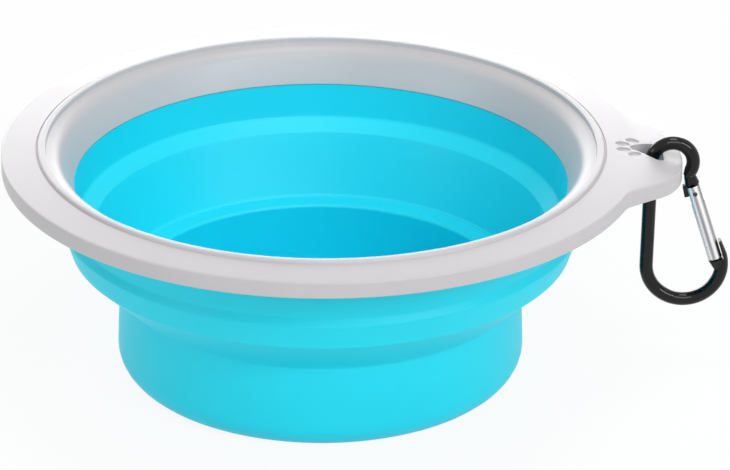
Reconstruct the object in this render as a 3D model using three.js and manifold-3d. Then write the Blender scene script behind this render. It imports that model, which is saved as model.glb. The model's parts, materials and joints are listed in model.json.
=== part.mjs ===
// Collapsible dog bowl: a hard rim with a carrying tab, a soft stepped body that folds
// up into the rim, and a small snap hook hanging in the paw-shaped hole of the tab.
// Millimetres, +Z up. The origin is the middle of the flat underside, and the tab points along +X.

import * as THREE from 'three';
import * as BufferGeometryUtils from 'three/addons/utils/BufferGeometryUtils.js';
import Module from 'manifold-3d';

// Facets round the bowl, round a rod, and along one rounded corner of a profile
const BOWL_FACETS = 60;
const ROD_FACETS = 12;
const CORNER_STEPS = 3;
const TAB_FACETS = 8;

// Clearances: moulded or bonded faces, and a pin or plunger in its bore
const BOND_GAP = 0.3;
const RUNNING_GAP = 0.1;

// Hard rim: flange, bead, lip and collar
const BOWL_HEIGHT = 68.1;
const FLANGE_RADIUS = 90;
const FLANGE_SLOPE = 5.7;
const FLANGE_PLATE = 2.2;
const SKIRT_DEPTH = 4.3;
const SKIRT_WALL = 2;
const BEAD_RADIUS = 80;
const BEAD_WIDTH = 2.1;
const BEAD_RISE = 0.5;
const GROOVE_WIDTH = 0.4;
const GROOVE_DEPTH = 0.3;
const LIP_WIDTH = 4.1;
const LIP_ROUND = 2.1;
const COLLAR_RADIUS = 69.6;
const COLLAR_DEPTH = 11.5;
const COLLAR_WALL = 1.8;
const ANCHOR_RISE = 0.8;
const ANCHOR_WIDTH = 1.6;
const ANCHOR_HEIGHT = 2.2;

// Carrying tab on the flange, with its paw: four sunk toes and a pad that is cut through
const TAB_REACH = 11.8;
const TAB_SLOPE = 14;
const TAB_ROOT_ANGLE = 18.5;
const TAB_WIDTH = 34;
const TAB_NOSE_WIDTH = 14;
const TAB_SHOULDER = 4;
const TAB_ROUND = 5;
const STRIP_WIDTH = 5.5;
const PAD_LENGTH = 8.4;
const PAD_WIDTH = 13.6;
const PAD_ROUND = 2.6;
const TOE_LENGTH = 4;
const TOE_WIDTH = 3.2;
const TOE_DEPTH = 0.8;
const INNER_TOE = { ahead: 2.6, aside: 2, turn: 10 };
const OUTER_TOE = { ahead: -0.4, aside: 4.7, turn: 35 };

// Soft body: lap on the collar, bulging ridge, shoulder, inverting cone and base cup
const LAP_HEIGHT = 4.2;
const LAP_WALL = 3;
const BODY_WALL = 2.9;
const RIDGE_BULGE = 0.9;
const RIDGE_DROP = 11.1;
const RIDGE_ROUND = 1.5;
const LEDGE_DROP = 3.4;
const LEDGE_STEP = 2.9;
const SHOULDER_DROP = 7;
const SHOULDER_STEP = 2.3;
const SHOULDER_ROUND = 2;
const SHOULDER_LIP = 2.4;
const CUP_HEIGHT = 25.7;
const CUP_TOP_RADIUS = 57.3;
const CUP_FLARE = 1;
const CUP_WALL = 2.6;
const CUP_FLOOR = 2.6;
const CUP_ROUND = 7.6;
const FLOOR_ROUND = 5;
const FOLD_MARGIN = 0.7;

// Snap hook: bent rod, tube gate on a rivet, and the spring and plunger that close it
const ROD_DIAMETER = 4;
const HOOK_RADIUS = 5.9;
const HOOK_AHEAD = 2.76;
const HOOK_BELOW = 2.35;
const HOOK_END_ANGLE = -25;
const HOOK_SPREAD = 1.6;
const BOTTOM_RADIUS = 10.75;
const BOTTOM_AHEAD = 4.5;
const HOOK_LENGTH = 31.9;
const FRAME_STEPS = 64;
const GATE_TILT = 18;
const GATE_DIAMETER = 4;
const GATE_LENGTH = 23.8;
const GATE_INSET = 1.65;
const GATE_BORE = 2.6;
const GATE_BORE_DEPTH = 16.8;
const NOSE_LIP = 4.6;
const NOSE_SEAT = 4.5;
const NOSE_SEAT_TIP = 0.9;
const RIVET_DIAMETER = 1.3;
const RIVET_INSET = 2.2;
const TONGUE_THICKNESS = 1.3;
const TONGUE_WIDTH = 3;
const TONGUE_REACH = 2.2;
const HEEL_REACH = 1.2;
const HEEL_LENGTH = 3.2;
const SLOT_DEPTH = 5.2;
const RELIEF_SIDE = 0.6;
const PLUNGER_DIAMETER = 2.2;
const PLUNGER_LENGTH = 3.2;
const SPRING_WIRE = 0.4;
const SPRING_CURLS = 9;
const CURL_STEPS = 8;
const WIRE_SIDES = 6;

const wasm = await Module();
wasm.setup();

// A closed geometry as a solid for joining and cutting: corners merged, empty triangles dropped
function solid(geometry) {
  geometry.deleteAttribute('normal');
  geometry.deleteAttribute('uv');
  const merged = BufferGeometryUtils.mergeVertices(geometry);
  const corners = merged.index.array;
  const kept = [];
  for (let i = 0; i < corners.length; i += 3) {
    const [a, b, c] = corners.slice(i, i + 3);
    if (a !== b && b !== c && c !== a) {
      kept.push(a, b, c);
    }
  }
  const vertProperties = Float32Array.from(merged.attributes.position.array);
  const triVerts = Uint32Array.from(kept);
  return new wasm.Manifold(new wasm.Mesh({ numProp: 3, vertProperties, triVerts }));
}

// A named mesh of one finish from a finished solid
function piece(name, body, material) {
  const result = body.getMesh();
  const geometry = new THREE.BufferGeometry();
  geometry.setAttribute('position', new THREE.BufferAttribute(result.vertProperties, 3));
  geometry.setIndex(new THREE.BufferAttribute(result.triVerts, 1));
  geometry.computeVertexNormals();
  const mesh = new THREE.Mesh(geometry, material);
  mesh.name = name;
  return mesh;
}

// A closed profile of radius and height, turned about the Z axis
function revolve(path, facets = BOWL_FACETS) {
  const points = path.getPoints(CORNER_STEPS);
  if (!points[0].equals(points[points.length - 1])) {
    points.push(points[0].clone());
  }
  return solid(new THREE.LatheGeometry(points, facets).rotateX(Math.PI / 2));
}

// A flat outline raised along +Z
function raise(shape, height) {
  const settings = { depth: height, bevelEnabled: false, curveSegments: CORNER_STEPS };
  return new THREE.ExtrudeGeometry(shape, settings);
}

// An outline through the corners given, each corner rounded by a curve that starts its cut away
function roundedOutline(corners, outline = new THREE.Shape()) {
  corners.forEach(({ at, cut }, i) => {
    const before = corners[(i + corners.length - 1) % corners.length].at;
    const after = corners[(i + 1) % corners.length].at;
    const from = at.clone().add(before.clone().sub(at).setLength(cut));
    const to = at.clone().add(after.clone().sub(at).setLength(cut));
    if (i === 0) {
      outline.moveTo(from.x, from.y);
    } else {
      outline.lineTo(from.x, from.y);
    }
    outline.quadraticCurveTo(at.x, at.y, to.x, to.y);
  });
  outline.closePath();
  return outline;
}

const point = (x, y) => new THREE.Vector2(x, y);
const along = (from, to, share) => from.clone().lerp(to, share);
const turned = (degrees) => THREE.MathUtils.degToRad(degrees);

const rimPlastic = new THREE.MeshStandardMaterial({ color: 0xcbc9cb, roughness: 0.42, metalness: 0 });
const softBody = new THREE.MeshStandardMaterial({ color: 0x24d6eb, roughness: 0.48, metalness: 0 });
const blackRod = new THREE.MeshStandardMaterial({ color: 0x121213, roughness: 0.25, metalness: 0.6 });
const silverTube = new THREE.MeshStandardMaterial({ color: 0xc9cbcd, roughness: 0.3, metalness: 1 });
const steel = new THREE.MeshStandardMaterial({ color: 0x8d8f92, roughness: 0.35, metalness: 1 });

// Flange surface: it falls gently outwards, and more steeply along the tab
const flangeFall = Math.tan(turned(FLANGE_SLOPE));
const tabFall = Math.tan(turned(TAB_SLOPE));
const beadFoot = BOWL_HEIGHT - BEAD_RISE;
const flangeEdge = beadFoot - (FLANGE_RADIUS - BEAD_RADIUS) * flangeFall;

function flangeTop(radius) {
  if (radius <= FLANGE_RADIUS) {
    return beadFoot - (radius - BEAD_RADIUS) * flangeFall;
  }
  return flangeEdge - (radius - FLANGE_RADIUS) * tabFall;
}

// Collar: a cone from the corner of the flat lip down to its lower edge, where the soft body begins
const collarFoot = BOWL_HEIGHT - COLLAR_DEPTH;
const lipRadius = BEAD_RADIUS - BEAD_WIDTH - GROOVE_WIDTH;
const lipCorner = point(lipRadius - LIP_WIDTH, BOWL_HEIGHT);
const collarInner = point(COLLAR_RADIUS, collarFoot);
const collarLine = lipCorner.clone().sub(collarInner).normalize();
const collarOut = point(collarLine.y, -collarLine.x);

// Point on the outside of the collar at a height above its foot, lifted off by a distance
function collarOuter(height, lift = 0) {
  const onLine = collarInner.clone().addScaledVector(collarLine, height / collarLine.y);
  const level = onLine.y;
  const out = (COLLAR_WALL + lift) / collarOut.x;
  return point(onLine.x + out, level);
}

// The anchor rib on the collar holds the lap of the soft body, with the bond gap where lifted
function anchorRib(lift = 0) {
  const low = ANCHOR_HEIGHT - ANCHOR_WIDTH / 2 - lift;
  const high = ANCHOR_HEIGHT + ANCHOR_WIDTH / 2 + lift;
  const crest = ANCHOR_RISE + lift;
  return [
    collarOuter(low, lift),
    collarOuter(low + ANCHOR_RISE / 2, crest),
    collarOuter(high - ANCHOR_RISE / 2, crest),
    collarOuter(high, lift),
  ];
}

function rimBlank() {
  const plateUnder = (radius) => flangeTop(radius) - FLANGE_PLATE;
  const skirtInner = FLANGE_RADIUS - SKIRT_WALL;
  const reach = FLANGE_RADIUS + TAB_REACH + SKIRT_WALL;
  const collarTop = plateUnder(BEAD_RADIUS) - collarFoot - FLANGE_PLATE / 2;
  const collarRoot = collarOuter(collarTop);
  const grooveMiddle = lipRadius + GROOVE_WIDTH / 2;
  const path = new THREE.Path();
  path.moveTo(collarInner.x, collarInner.y);
  const outside = [collarOuter(0), ...anchorRib(), collarRoot];
  outside.forEach((p) => path.lineTo(p.x, p.y));
  const rootTurn = collarRoot.x + FLANGE_PLATE / 2;
  path.quadraticCurveTo(rootTurn, plateUnder(BEAD_RADIUS), BEAD_RADIUS, plateUnder(BEAD_RADIUS));
  path.lineTo(skirtInner, plateUnder(skirtInner));
  path.lineTo(skirtInner, flangeEdge - SKIRT_DEPTH);
  path.lineTo(FLANGE_RADIUS, flangeEdge - SKIRT_DEPTH);
  path.lineTo(reach, flangeTop(reach) - SKIRT_DEPTH);
  path.lineTo(reach, flangeTop(reach));
  path.lineTo(FLANGE_RADIUS, flangeEdge);
  path.lineTo(BEAD_RADIUS, beadFoot);
  path.quadraticCurveTo(BEAD_RADIUS - BEAD_RISE / 2, BOWL_HEIGHT, BEAD_RADIUS - BEAD_RISE, BOWL_HEIGHT);
  path.lineTo(lipRadius + GROOVE_WIDTH, BOWL_HEIGHT);
  path.lineTo(grooveMiddle, BOWL_HEIGHT - GROOVE_DEPTH);
  path.lineTo(lipRadius, BOWL_HEIGHT);
  path.lineTo(lipCorner.x + LIP_ROUND, BOWL_HEIGHT);
  const lipTurn = lipCorner.clone().addScaledVector(collarLine, -LIP_ROUND);
  path.quadraticCurveTo(lipCorner.x, lipCorner.y, lipTurn.x, lipTurn.y);
  path.closePath();
  return revolve(path);
}

// Plan of the rim: the flange circle with the tab growing out of it on both sides of the X axis
function rimPlan() {
  const rootTurn = turned(TAB_ROOT_ANGLE);
  const filletTurn = TAB_ROUND / FLANGE_RADIUS;
  const onFlange = (angle) => point(FLANGE_RADIUS * Math.cos(angle), FLANGE_RADIUS * Math.sin(angle));
  const root = onFlange(rootTurn);
  const corner = point(FLANGE_RADIUS + TAB_REACH - TAB_SHOULDER, TAB_WIDTH / 2);
  const nose = point(FLANGE_RADIUS + TAB_REACH, TAB_NOSE_WIDTH / 2);
  const flank = root.clone().add(corner.clone().sub(root).setLength(TAB_ROUND));
  const turnIn = corner.clone().add(root.clone().sub(corner).setLength(TAB_ROUND));
  const turnOut = along(corner, nose, 0.5);
  const plan = new THREE.Shape();
  const start = rootTurn + filletTurn;
  plan.moveTo(onFlange(start).x, onFlange(start).y);
  const arcSteps = BOWL_FACETS - TAB_FACETS;
  for (let i = 1; i <= arcSteps; i += 1) {
    const p = onFlange(start + (i / arcSteps) * 2 * (Math.PI - start));
    plan.lineTo(p.x, p.y);
  }
  plan.quadraticCurveTo(root.x, -root.y, flank.x, -flank.y);
  plan.lineTo(turnIn.x, -turnIn.y);
  plan.quadraticCurveTo(corner.x, -corner.y, turnOut.x, -turnOut.y);
  plan.quadraticCurveTo(nose.x, -nose.y, nose.x, 0);
  plan.quadraticCurveTo(nose.x, nose.y, turnOut.x, turnOut.y);
  plan.quadraticCurveTo(corner.x, corner.y, turnIn.x, turnIn.y);
  plan.lineTo(flank.x, flank.y);
  plan.quadraticCurveTo(root.x, root.y, onFlange(start).x, onFlange(start).y);
  return plan;
}

// The pad of the paw: a rounded triangle whose straight side leaves the strip that the hook hangs on
const stripInner = FLANGE_RADIUS + TAB_REACH - STRIP_WIDTH;
const padTip = stripInner - PAD_LENGTH;

function padCut() {
  const outline = roundedOutline([
    { at: point(padTip, 0), cut: PAD_ROUND / 2 },
    { at: point(stripInner, -PAD_WIDTH / 2), cut: PAD_ROUND },
    { at: point(stripInner, PAD_WIDTH / 2), cut: PAD_ROUND },
  ]);
  return solid(raise(outline, BOWL_HEIGHT + SKIRT_DEPTH));
}

function toeCut({ ahead, aside, turn }, side) {
  const outline = new THREE.Shape();
  outline.absellipse(0, 0, TOE_LENGTH / 2, TOE_WIDTH / 2, 0, 2 * Math.PI, false, 0);
  const settings = { depth: SKIRT_DEPTH, bevelEnabled: false, curveSegments: ROD_FACETS };
  const toe = new THREE.ExtrudeGeometry(outline, settings);
  const x = padTip - ahead;
  toe.rotateZ(-side * turned(turn));
  toe.translate(x, side * aside, flangeTop(Math.hypot(x, aside)) - TOE_DEPTH);
  return solid(toe);
}

function rimRing() {
  let rim = rimBlank().intersect(solid(raise(rimPlan(), BOWL_HEIGHT + SKIRT_DEPTH)));
  rim = rim.subtract(padCut());
  [-1, 1].forEach((side) => {
    rim = rim.subtract(toeCut(INNER_TOE, side)).subtract(toeCut(OUTER_TOE, side));
  });
  return rim;
}

// Key points of the soft body, inside and outside, from the collar down to the cup
const bodyTop = collarFoot - BOND_GAP;
const ridgeLevel = collarFoot - RIDGE_DROP;
const ledgeLevel = ridgeLevel - LEDGE_DROP;
const shoulderLevel = ridgeLevel - SHOULDER_DROP;
const ledgeInner = point(COLLAR_RADIUS - LEDGE_STEP, ledgeLevel);
const ridgeOuter = point(COLLAR_RADIUS + BODY_WALL + RIDGE_BULGE, ridgeLevel);
const shoulderOuter = point(ridgeOuter.x - SHOULDER_STEP, shoulderLevel);
const cupTopOuter = point(CUP_TOP_RADIUS, CUP_HEIGHT);
const cupTopInner = point(CUP_TOP_RADIUS - CUP_WALL / 3, CUP_HEIGHT + CUP_WALL / 3);
const cupNeck = point(CUP_TOP_RADIUS - CUP_WALL, CUP_HEIGHT - CUP_WALL / 2);

// The bonded lap closes round the anchor rib outside the collar, above the first of the body wall
const topBandFoot = bodyTop - FOLD_MARGIN;
const lapOuterRadius = collarOuter(ANCHOR_HEIGHT, BOND_GAP + ANCHOR_RISE + LAP_WALL).x;
const upperWallRadius = COLLAR_RADIUS + BODY_WALL;

function bodyTopBand() {
  const path = new THREE.Path();
  path.moveTo(COLLAR_RADIUS, topBandFoot);
  path.lineTo(upperWallRadius + LAP_WALL / 2, topBandFoot);
  path.lineTo(lapOuterRadius, collarFoot + ANCHOR_HEIGHT / 2);
  path.lineTo(lapOuterRadius, collarFoot + LAP_HEIGHT - LAP_WALL / 2);
  const lapTop = collarOuter(LAP_HEIGHT, BOND_GAP);
  path.quadraticCurveTo(lapOuterRadius, collarFoot + LAP_HEIGHT, lapTop.x, lapTop.y);
  const inside = anchorRib(BOND_GAP).reverse();
  inside.forEach((p) => path.lineTo(p.x, p.y));
  path.lineTo(collarOuter(-BOND_GAP, BOND_GAP).x, bodyTop);
  path.lineTo(COLLAR_RADIUS, bodyTop);
  path.closePath();
  return revolve(path);
}

// The upper fold runs from the lap over the outer ridge and the inner ledge to the shoulder
const shoulderTop = ledgeLevel - BOND_GAP;

function bodyUpperFold() {
  const top = topBandFoot - BOND_GAP;
  const foot = shoulderTop + BOND_GAP;
  const share = (ridgeLevel - foot) / (ridgeLevel - shoulderLevel);
  const footOuter = along(ridgeOuter, shoulderOuter, share);
  const path = new THREE.Path();
  path.moveTo(ledgeInner.x, foot);
  path.lineTo(footOuter.x, foot);
  const ridgeTurn = ridgeOuter.clone().add(footOuter.clone().sub(ridgeOuter).setLength(RIDGE_ROUND));
  path.lineTo(ridgeTurn.x, ridgeTurn.y);
  path.quadraticCurveTo(ridgeOuter.x, ridgeLevel, ridgeOuter.x - RIDGE_BULGE / 2, ridgeLevel + RIDGE_ROUND);
  path.quadraticCurveTo(upperWallRadius, (top + ridgeLevel) / 2, upperWallRadius + LAP_WALL / 2, top);
  path.lineTo(COLLAR_RADIUS, top);
  path.lineTo(COLLAR_RADIUS - RIDGE_BULGE / 2, ridgeLevel + RIDGE_ROUND);
  path.quadraticCurveTo(COLLAR_RADIUS - RIDGE_BULGE, ridgeLevel - RIDGE_ROUND, ledgeInner.x, ledgeInner.y);
  path.closePath();
  return revolve(path);
}

// The thick shoulder stays a ring, and the cone below it turns inside out when the bowl folds
const coneInner = (share) => along(point(ledgeInner.x, shoulderTop), cupTopInner, share);
const coneOuter = (share) => along(shoulderOuter, cupTopOuter, share);
const coneLength = shoulderOuter.distanceTo(cupTopOuter);
const shoulderShare = (SHOULDER_ROUND + SHOULDER_LIP) / coneLength;
const gapShare = BOND_GAP / coneLength;

function shoulderRing() {
  const topShare = (ridgeLevel - shoulderTop) / (ridgeLevel - shoulderLevel);
  const topOuter = along(ridgeOuter, shoulderOuter, topShare);
  const below = coneOuter(shoulderShare);
  const inside = coneInner(shoulderShare);
  const rounded = coneOuter(SHOULDER_ROUND / coneLength);
  const path = new THREE.Path();
  path.moveTo(inside.x, inside.y);
  path.lineTo(below.x, below.y);
  path.lineTo(rounded.x, rounded.y);
  const turn = along(shoulderOuter, topOuter, SHOULDER_ROUND / shoulderOuter.distanceTo(topOuter));
  path.quadraticCurveTo(shoulderOuter.x, shoulderOuter.y, turn.x, turn.y);
  path.lineTo(topOuter.x, topOuter.y);
  path.lineTo(ledgeInner.x, shoulderTop);
  path.closePath();
  return revolve(path);
}

function bodyLowerFold() {
  const high = shoulderShare + gapShare;
  const low = 1 - gapShare;
  const path = new THREE.Path();
  const corners = [coneInner(low), coneOuter(low), coneOuter((low + high) / 2), coneOuter(high), coneInner(high)];
  path.moveTo(corners[0].x, corners[0].y);
  corners.slice(1).forEach((p) => path.lineTo(p.x, p.y));
  path.closePath();
  return revolve(path);
}

function baseCup() {
  const footRadius = CUP_TOP_RADIUS + CUP_FLARE;
  const innerFoot = footRadius - CUP_WALL;
  const path = new THREE.Path();
  path.moveTo(0, 0);
  path.lineTo(footRadius - CUP_ROUND, 0);
  path.absarc(footRadius - CUP_ROUND, CUP_ROUND, CUP_ROUND, -Math.PI / 2, 0, false);
  path.lineTo(cupTopOuter.x, cupTopOuter.y);
  path.lineTo(cupTopInner.x, cupTopInner.y);
  path.quadraticCurveTo(cupNeck.x, CUP_HEIGHT, cupNeck.x, cupNeck.y);
  path.lineTo(innerFoot, CUP_FLOOR + FLOOR_ROUND);
  path.absarc(innerFoot - FLOOR_ROUND, CUP_FLOOR + FLOOR_ROUND, FLOOR_ROUND, 0, -Math.PI / 2, true);
  path.lineTo(0, CUP_FLOOR);
  path.closePath();
  return revolve(path);
}

// Snap hook, drawn in the XZ plane: hook arc over the strip, spine, bottom arc and nose
const rodRadius = ROD_DIAMETER / 2;
const gateRadius = GATE_DIAMETER / 2;
const gateTurn = turned(GATE_TILT);
const gateUp = point(-Math.sin(gateTurn), Math.cos(gateTurn));
const gateOut = point(Math.cos(gateTurn), Math.sin(gateTurn));
const hookCentre = point(stripInner + HOOK_AHEAD, flangeTop(stripInner) - HOOK_BELOW);
const bottomCentre = point(hookCentre.x + BOTTOM_AHEAD, hookCentre.y - HOOK_LENGTH);
const noseStart = bottomCentre.clone().addScaledVector(gateOut, BOTTOM_RADIUS);
const gateFoot = noseStart.clone().addScaledVector(gateOut, -GATE_INSET).addScaledVector(gateUp, -BOND_GAP * 2);
const rivetLevel = GATE_LENGTH - RIVET_INSET;
const slotFloor = GATE_LENGTH - SLOT_DEPTH;

// Places a shape that was drawn along +Z, with +X outwards, on the axis of the gate
function onGateAxis(geometry) {
  return geometry.rotateY(-gateTurn).translate(gateFoot.x, 0, gateFoot.y);
}

function rodAcross(radius, length) {
  return new THREE.CylinderGeometry(radius, radius, length, ROD_FACETS);
}

function bentRod() {
  const stub = gateFoot.clone().addScaledVector(gateUp, GATE_LENGTH + BOND_GAP);
  const hookTurn = turned(HOOK_END_ANGLE);
  const hookEnd = point(Math.cos(hookTurn), Math.sin(hookTurn)).multiplyScalar(HOOK_RADIUS).add(hookCentre);
  const hookLine = point(-Math.sin(hookTurn), Math.cos(hookTurn));
  const stubPull = stub.clone().addScaledVector(gateUp, HOOK_SPREAD);
  const hookPull = hookEnd.clone().addScaledVector(hookLine, -HOOK_SPREAD);
  const lipEnd = noseStart.clone().addScaledVector(gateUp, NOSE_LIP);
  const path = new THREE.Path();
  path.moveTo(stub.x, stub.y);
  path.bezierCurveTo(stubPull.x, stubPull.y, hookPull.x, hookPull.y, hookEnd.x, hookEnd.y);
  path.absarc(hookCentre.x, hookCentre.y, HOOK_RADIUS, hookTurn, Math.PI, false);
  path.absarc(bottomCentre.x, bottomCentre.y, BOTTOM_RADIUS, Math.PI, 2 * Math.PI + gateTurn, false);
  path.lineTo(lipEnd.x, lipEnd.y);
  const route = path.getSpacedPoints(FRAME_STEPS).map((p) => new THREE.Vector3(p.x, 0, p.y));
  const section = new THREE.Shape();
  section.absarc(0, 0, rodRadius, 0, 2 * Math.PI, false);
  const extrudePath = new THREE.CatmullRomCurve3(route);
  const settings = { steps: FRAME_STEPS, extrudePath, curveSegments: ROD_FACETS / 2 };
  return solid(new THREE.ExtrudeGeometry(section, settings));
}

// Room for the gate beside the nose: its tube, and the way that it swings inwards
function gateRoom() {
  const roomRadius = gateRadius + BOND_GAP;
  const length = GATE_LENGTH / 2;
  const tube = rodAcross(roomRadius, length).rotateX(Math.PI / 2).translate(0, 0, length / 2 - BOND_GAP);
  const swing = new THREE.BoxGeometry(ROD_DIAMETER * 2, roomRadius * 2, length);
  swing.translate(-ROD_DIAMETER, 0, length / 2 - BOND_GAP);
  return solid(onGateAxis(tube)).add(solid(onGateAxis(swing)));
}

function noseSeat() {
  const seat = new THREE.CylinderGeometry(gateRadius + BOND_GAP / 2, NOSE_SEAT_TIP, NOSE_SEAT, ROD_FACETS);
  return solid(onGateAxis(seat.rotateX(Math.PI / 2).translate(0, 0, -NOSE_SEAT / 2 - BOND_GAP)));
}

// The tongue of the frame enters the fork of the gate, and its heel shows on the inner side
function tongue() {
  const half = TONGUE_WIDTH / 2;
  const low = rivetLevel - TONGUE_REACH;
  const high = GATE_LENGTH + rodRadius;
  const heelTop = GATE_LENGTH + BOND_GAP;
  const heelOut = -gateRadius - HEEL_REACH;
  const heelLow = heelTop - HEEL_LENGTH;
  const outline = roundedOutline([
    { at: point(-half, low), cut: BOND_GAP },
    { at: point(half, low), cut: BOND_GAP },
    { at: point(half, high), cut: BOND_GAP },
    { at: point(-half, high), cut: BOND_GAP },
    { at: point(heelOut, heelTop), cut: BOND_GAP },
    { at: point(heelOut, heelLow), cut: BOND_GAP },
    { at: point(-half, heelLow), cut: BOND_GAP },
  ]);
  const plate = raise(outline, TONGUE_THICKNESS).rotateX(Math.PI / 2).translate(0, TONGUE_THICKNESS / 2, 0);
  const eye = rodAcross(RIVET_DIAMETER / 2 + RUNNING_GAP, ROD_DIAMETER).translate(0, 0, rivetLevel);
  return solid(onGateAxis(plate)).subtract(solid(onGateAxis(eye)));
}

// The end of the rod is hollowed on the inner side, where the top of the gate swings up past it
function stubRelief() {
  const sweep = Math.hypot(gateRadius, RIVET_INSET) + BOND_GAP;
  const round = rodAcross(sweep, ROD_DIAMETER * 2).translate(0, 0, rivetLevel);
  const side = new THREE.BoxGeometry(ROD_DIAMETER * 2, ROD_DIAMETER * 2, ROD_DIAMETER * 2);
  side.translate(RELIEF_SIDE - ROD_DIAMETER, 0, rivetLevel + ROD_DIAMETER / 2);
  return solid(onGateAxis(round)).intersect(solid(onGateAxis(side)));
}

function hookFrame() {
  const rod = bentRod().add(noseSeat()).subtract(gateRoom()).subtract(stubRelief());
  return rod.add(tongue());
}

// Gate tube with its blind bore, the fork for the tongue and the rivet hole
function gateTube() {
  const bar = (radius, low, high) => {
    const tube = new THREE.CylinderGeometry(radius, radius, high - low, 2 * ROD_FACETS);
    return solid(tube.rotateX(Math.PI / 2).translate(0, 0, (low + high) / 2));
  };
  const boreFloor = GATE_LENGTH - GATE_BORE_DEPTH;
  const slotWidth = TONGUE_THICKNESS + 2 * BOND_GAP;
  const slot = new THREE.BoxGeometry(ROD_DIAMETER * 2, slotWidth, SLOT_DEPTH * 2);
  slot.translate(0, 0, slotFloor + SLOT_DEPTH);
  const eye = rodAcross(RIVET_DIAMETER / 2 + RUNNING_GAP, ROD_DIAMETER * 2).translate(0, 0, rivetLevel);
  const drill = bar(GATE_BORE / 2, boreFloor, GATE_LENGTH + GATE_BORE);
  const bored = bar(gateRadius, 0, GATE_LENGTH).subtract(drill);
  return bored.subtract(solid(slot)).subtract(solid(eye));
}

function gateRivet() {
  return solid(rodAcross(RIVET_DIAMETER / 2, GATE_DIAMETER).translate(0, 0, rivetLevel));
}

const plungerTop = rivetLevel - TONGUE_REACH - BOND_GAP;
const plungerFoot = plungerTop - PLUNGER_LENGTH;

function gatePlunger() {
  const radius = PLUNGER_DIAMETER / 2;
  const path = new THREE.Path();
  path.moveTo(0, plungerFoot);
  path.lineTo(radius, plungerFoot);
  path.lineTo(radius, plungerTop - radius / 2);
  path.quadraticCurveTo(radius, plungerTop, radius / 2, plungerTop);
  path.lineTo(0, plungerTop);
  path.closePath();
  return revolve(path, ROD_FACETS);
}

// Coil spring between the floor of the bore and the plunger
const springFoot = GATE_LENGTH - GATE_BORE_DEPTH + BOND_GAP + SPRING_WIRE / 2;
const springTop = plungerFoot - BOND_GAP - SPRING_WIRE / 2;
const springRadius = PLUNGER_DIAMETER / 2 - SPRING_WIRE / 2;

class Coil extends THREE.Curve {
  getPoint(t, target = new THREE.Vector3()) {
    const angle = t * SPRING_CURLS * 2 * Math.PI;
    const level = THREE.MathUtils.lerp(springFoot, springTop, t);
    return target.set(springRadius * Math.cos(angle), springRadius * Math.sin(angle), level);
  }
}

function gateSpring() {
  const wire = new THREE.Shape();
  wire.absarc(0, 0, SPRING_WIRE / 2, 0, 2 * Math.PI, false);
  const steps = SPRING_CURLS * CURL_STEPS;
  const settings = { steps, extrudePath: new Coil(), curveSegments: WIRE_SIDES / 2 };
  const pitch = (springTop - springFoot) / SPRING_CURLS;
  console.log(`least gap between curls of the gate spring: ${(pitch - SPRING_WIRE).toFixed(2)} mm`);
  return solid(new THREE.ExtrudeGeometry(wire, settings));
}

const gate = new THREE.Group();
gate.position.set(gateFoot.x, 0, gateFoot.y);
gate.rotation.y = -gateTurn;
gate.add(
  piece('gate', gateTube(), silverTube),
  piece('gate_rivet', gateRivet(), steel),
  piece('gate_plunger', gatePlunger(), steel),
  piece('gate_spring', gateSpring(), steel),
);

const hook = new THREE.Group();
hook.add(piece('carabiner_frame', hookFrame(), blackRod), gate);

const bowl = new THREE.Group();
bowl.add(
  piece('rim_ring', rimRing(), rimPlastic),
  piece('body_top_band', bodyTopBand(), softBody),
  piece('body_upper_fold', bodyUpperFold(), softBody),
  piece('body_shoulder_ring', shoulderRing(), softBody),
  piece('body_lower_fold', bodyLowerFold(), softBody),
  piece('base_cup', baseCup(), softBody),
  hook,
);

export default bowl;
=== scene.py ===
# Collapsible dog bowl: a hard rim with a carrying tab, a soft body that folds up into it, and a snap hook.
# Metres, +Z up. The origin is the middle of the flat underside, and the tab points along +X.

import json
import math

import bmesh
import bpy
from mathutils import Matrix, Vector


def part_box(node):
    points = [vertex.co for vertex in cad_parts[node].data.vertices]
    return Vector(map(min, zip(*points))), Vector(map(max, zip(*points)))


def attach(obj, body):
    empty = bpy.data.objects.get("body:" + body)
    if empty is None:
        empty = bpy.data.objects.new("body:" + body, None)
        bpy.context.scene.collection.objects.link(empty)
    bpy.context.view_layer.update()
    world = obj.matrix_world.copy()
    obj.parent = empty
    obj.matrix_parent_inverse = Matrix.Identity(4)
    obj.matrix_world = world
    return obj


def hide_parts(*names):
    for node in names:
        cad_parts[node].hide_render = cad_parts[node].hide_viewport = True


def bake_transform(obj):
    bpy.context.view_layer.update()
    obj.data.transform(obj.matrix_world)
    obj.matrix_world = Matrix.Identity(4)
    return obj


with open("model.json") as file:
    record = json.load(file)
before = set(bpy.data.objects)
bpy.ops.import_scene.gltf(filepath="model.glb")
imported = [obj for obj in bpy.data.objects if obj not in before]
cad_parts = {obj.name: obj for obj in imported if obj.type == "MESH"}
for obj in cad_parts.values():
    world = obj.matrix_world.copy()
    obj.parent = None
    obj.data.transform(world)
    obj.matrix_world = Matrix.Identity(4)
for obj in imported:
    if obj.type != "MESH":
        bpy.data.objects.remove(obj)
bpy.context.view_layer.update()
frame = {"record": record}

# Hard rim
# One injection moulding in pale grey polypropylene: a gently falling flange with a turned-down edge, a groove
# and a raised bead round the mouth, and a lip that rounds into the steep collar that carries the soft body.
# The carrying tab grows out of the flange, with a paw of four sunk toes and a pad that is cut right through.
MM = 0.001
rim_low, rim_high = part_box("rim_ring")
rim_top = rim_high.z
collar_foot = rim_low.z
flange_radius = rim_high.y
tab_end = rim_high.x
RIM_STEPS = 600
FLANGE_FALL = math.tan(math.radians(5))
FLANGE_PLATE = 2.2 * MM
EDGE_DEPTH = 4.6 * MM
EDGE_WALL = 2.0 * MM
EDGE_ROUND = 0.5 * MM
FINE_ROUND = 0.3 * MM
BEAD_RADIUS = 79.9 * MM
BEAD_WIDTH = 2.5 * MM
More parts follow.
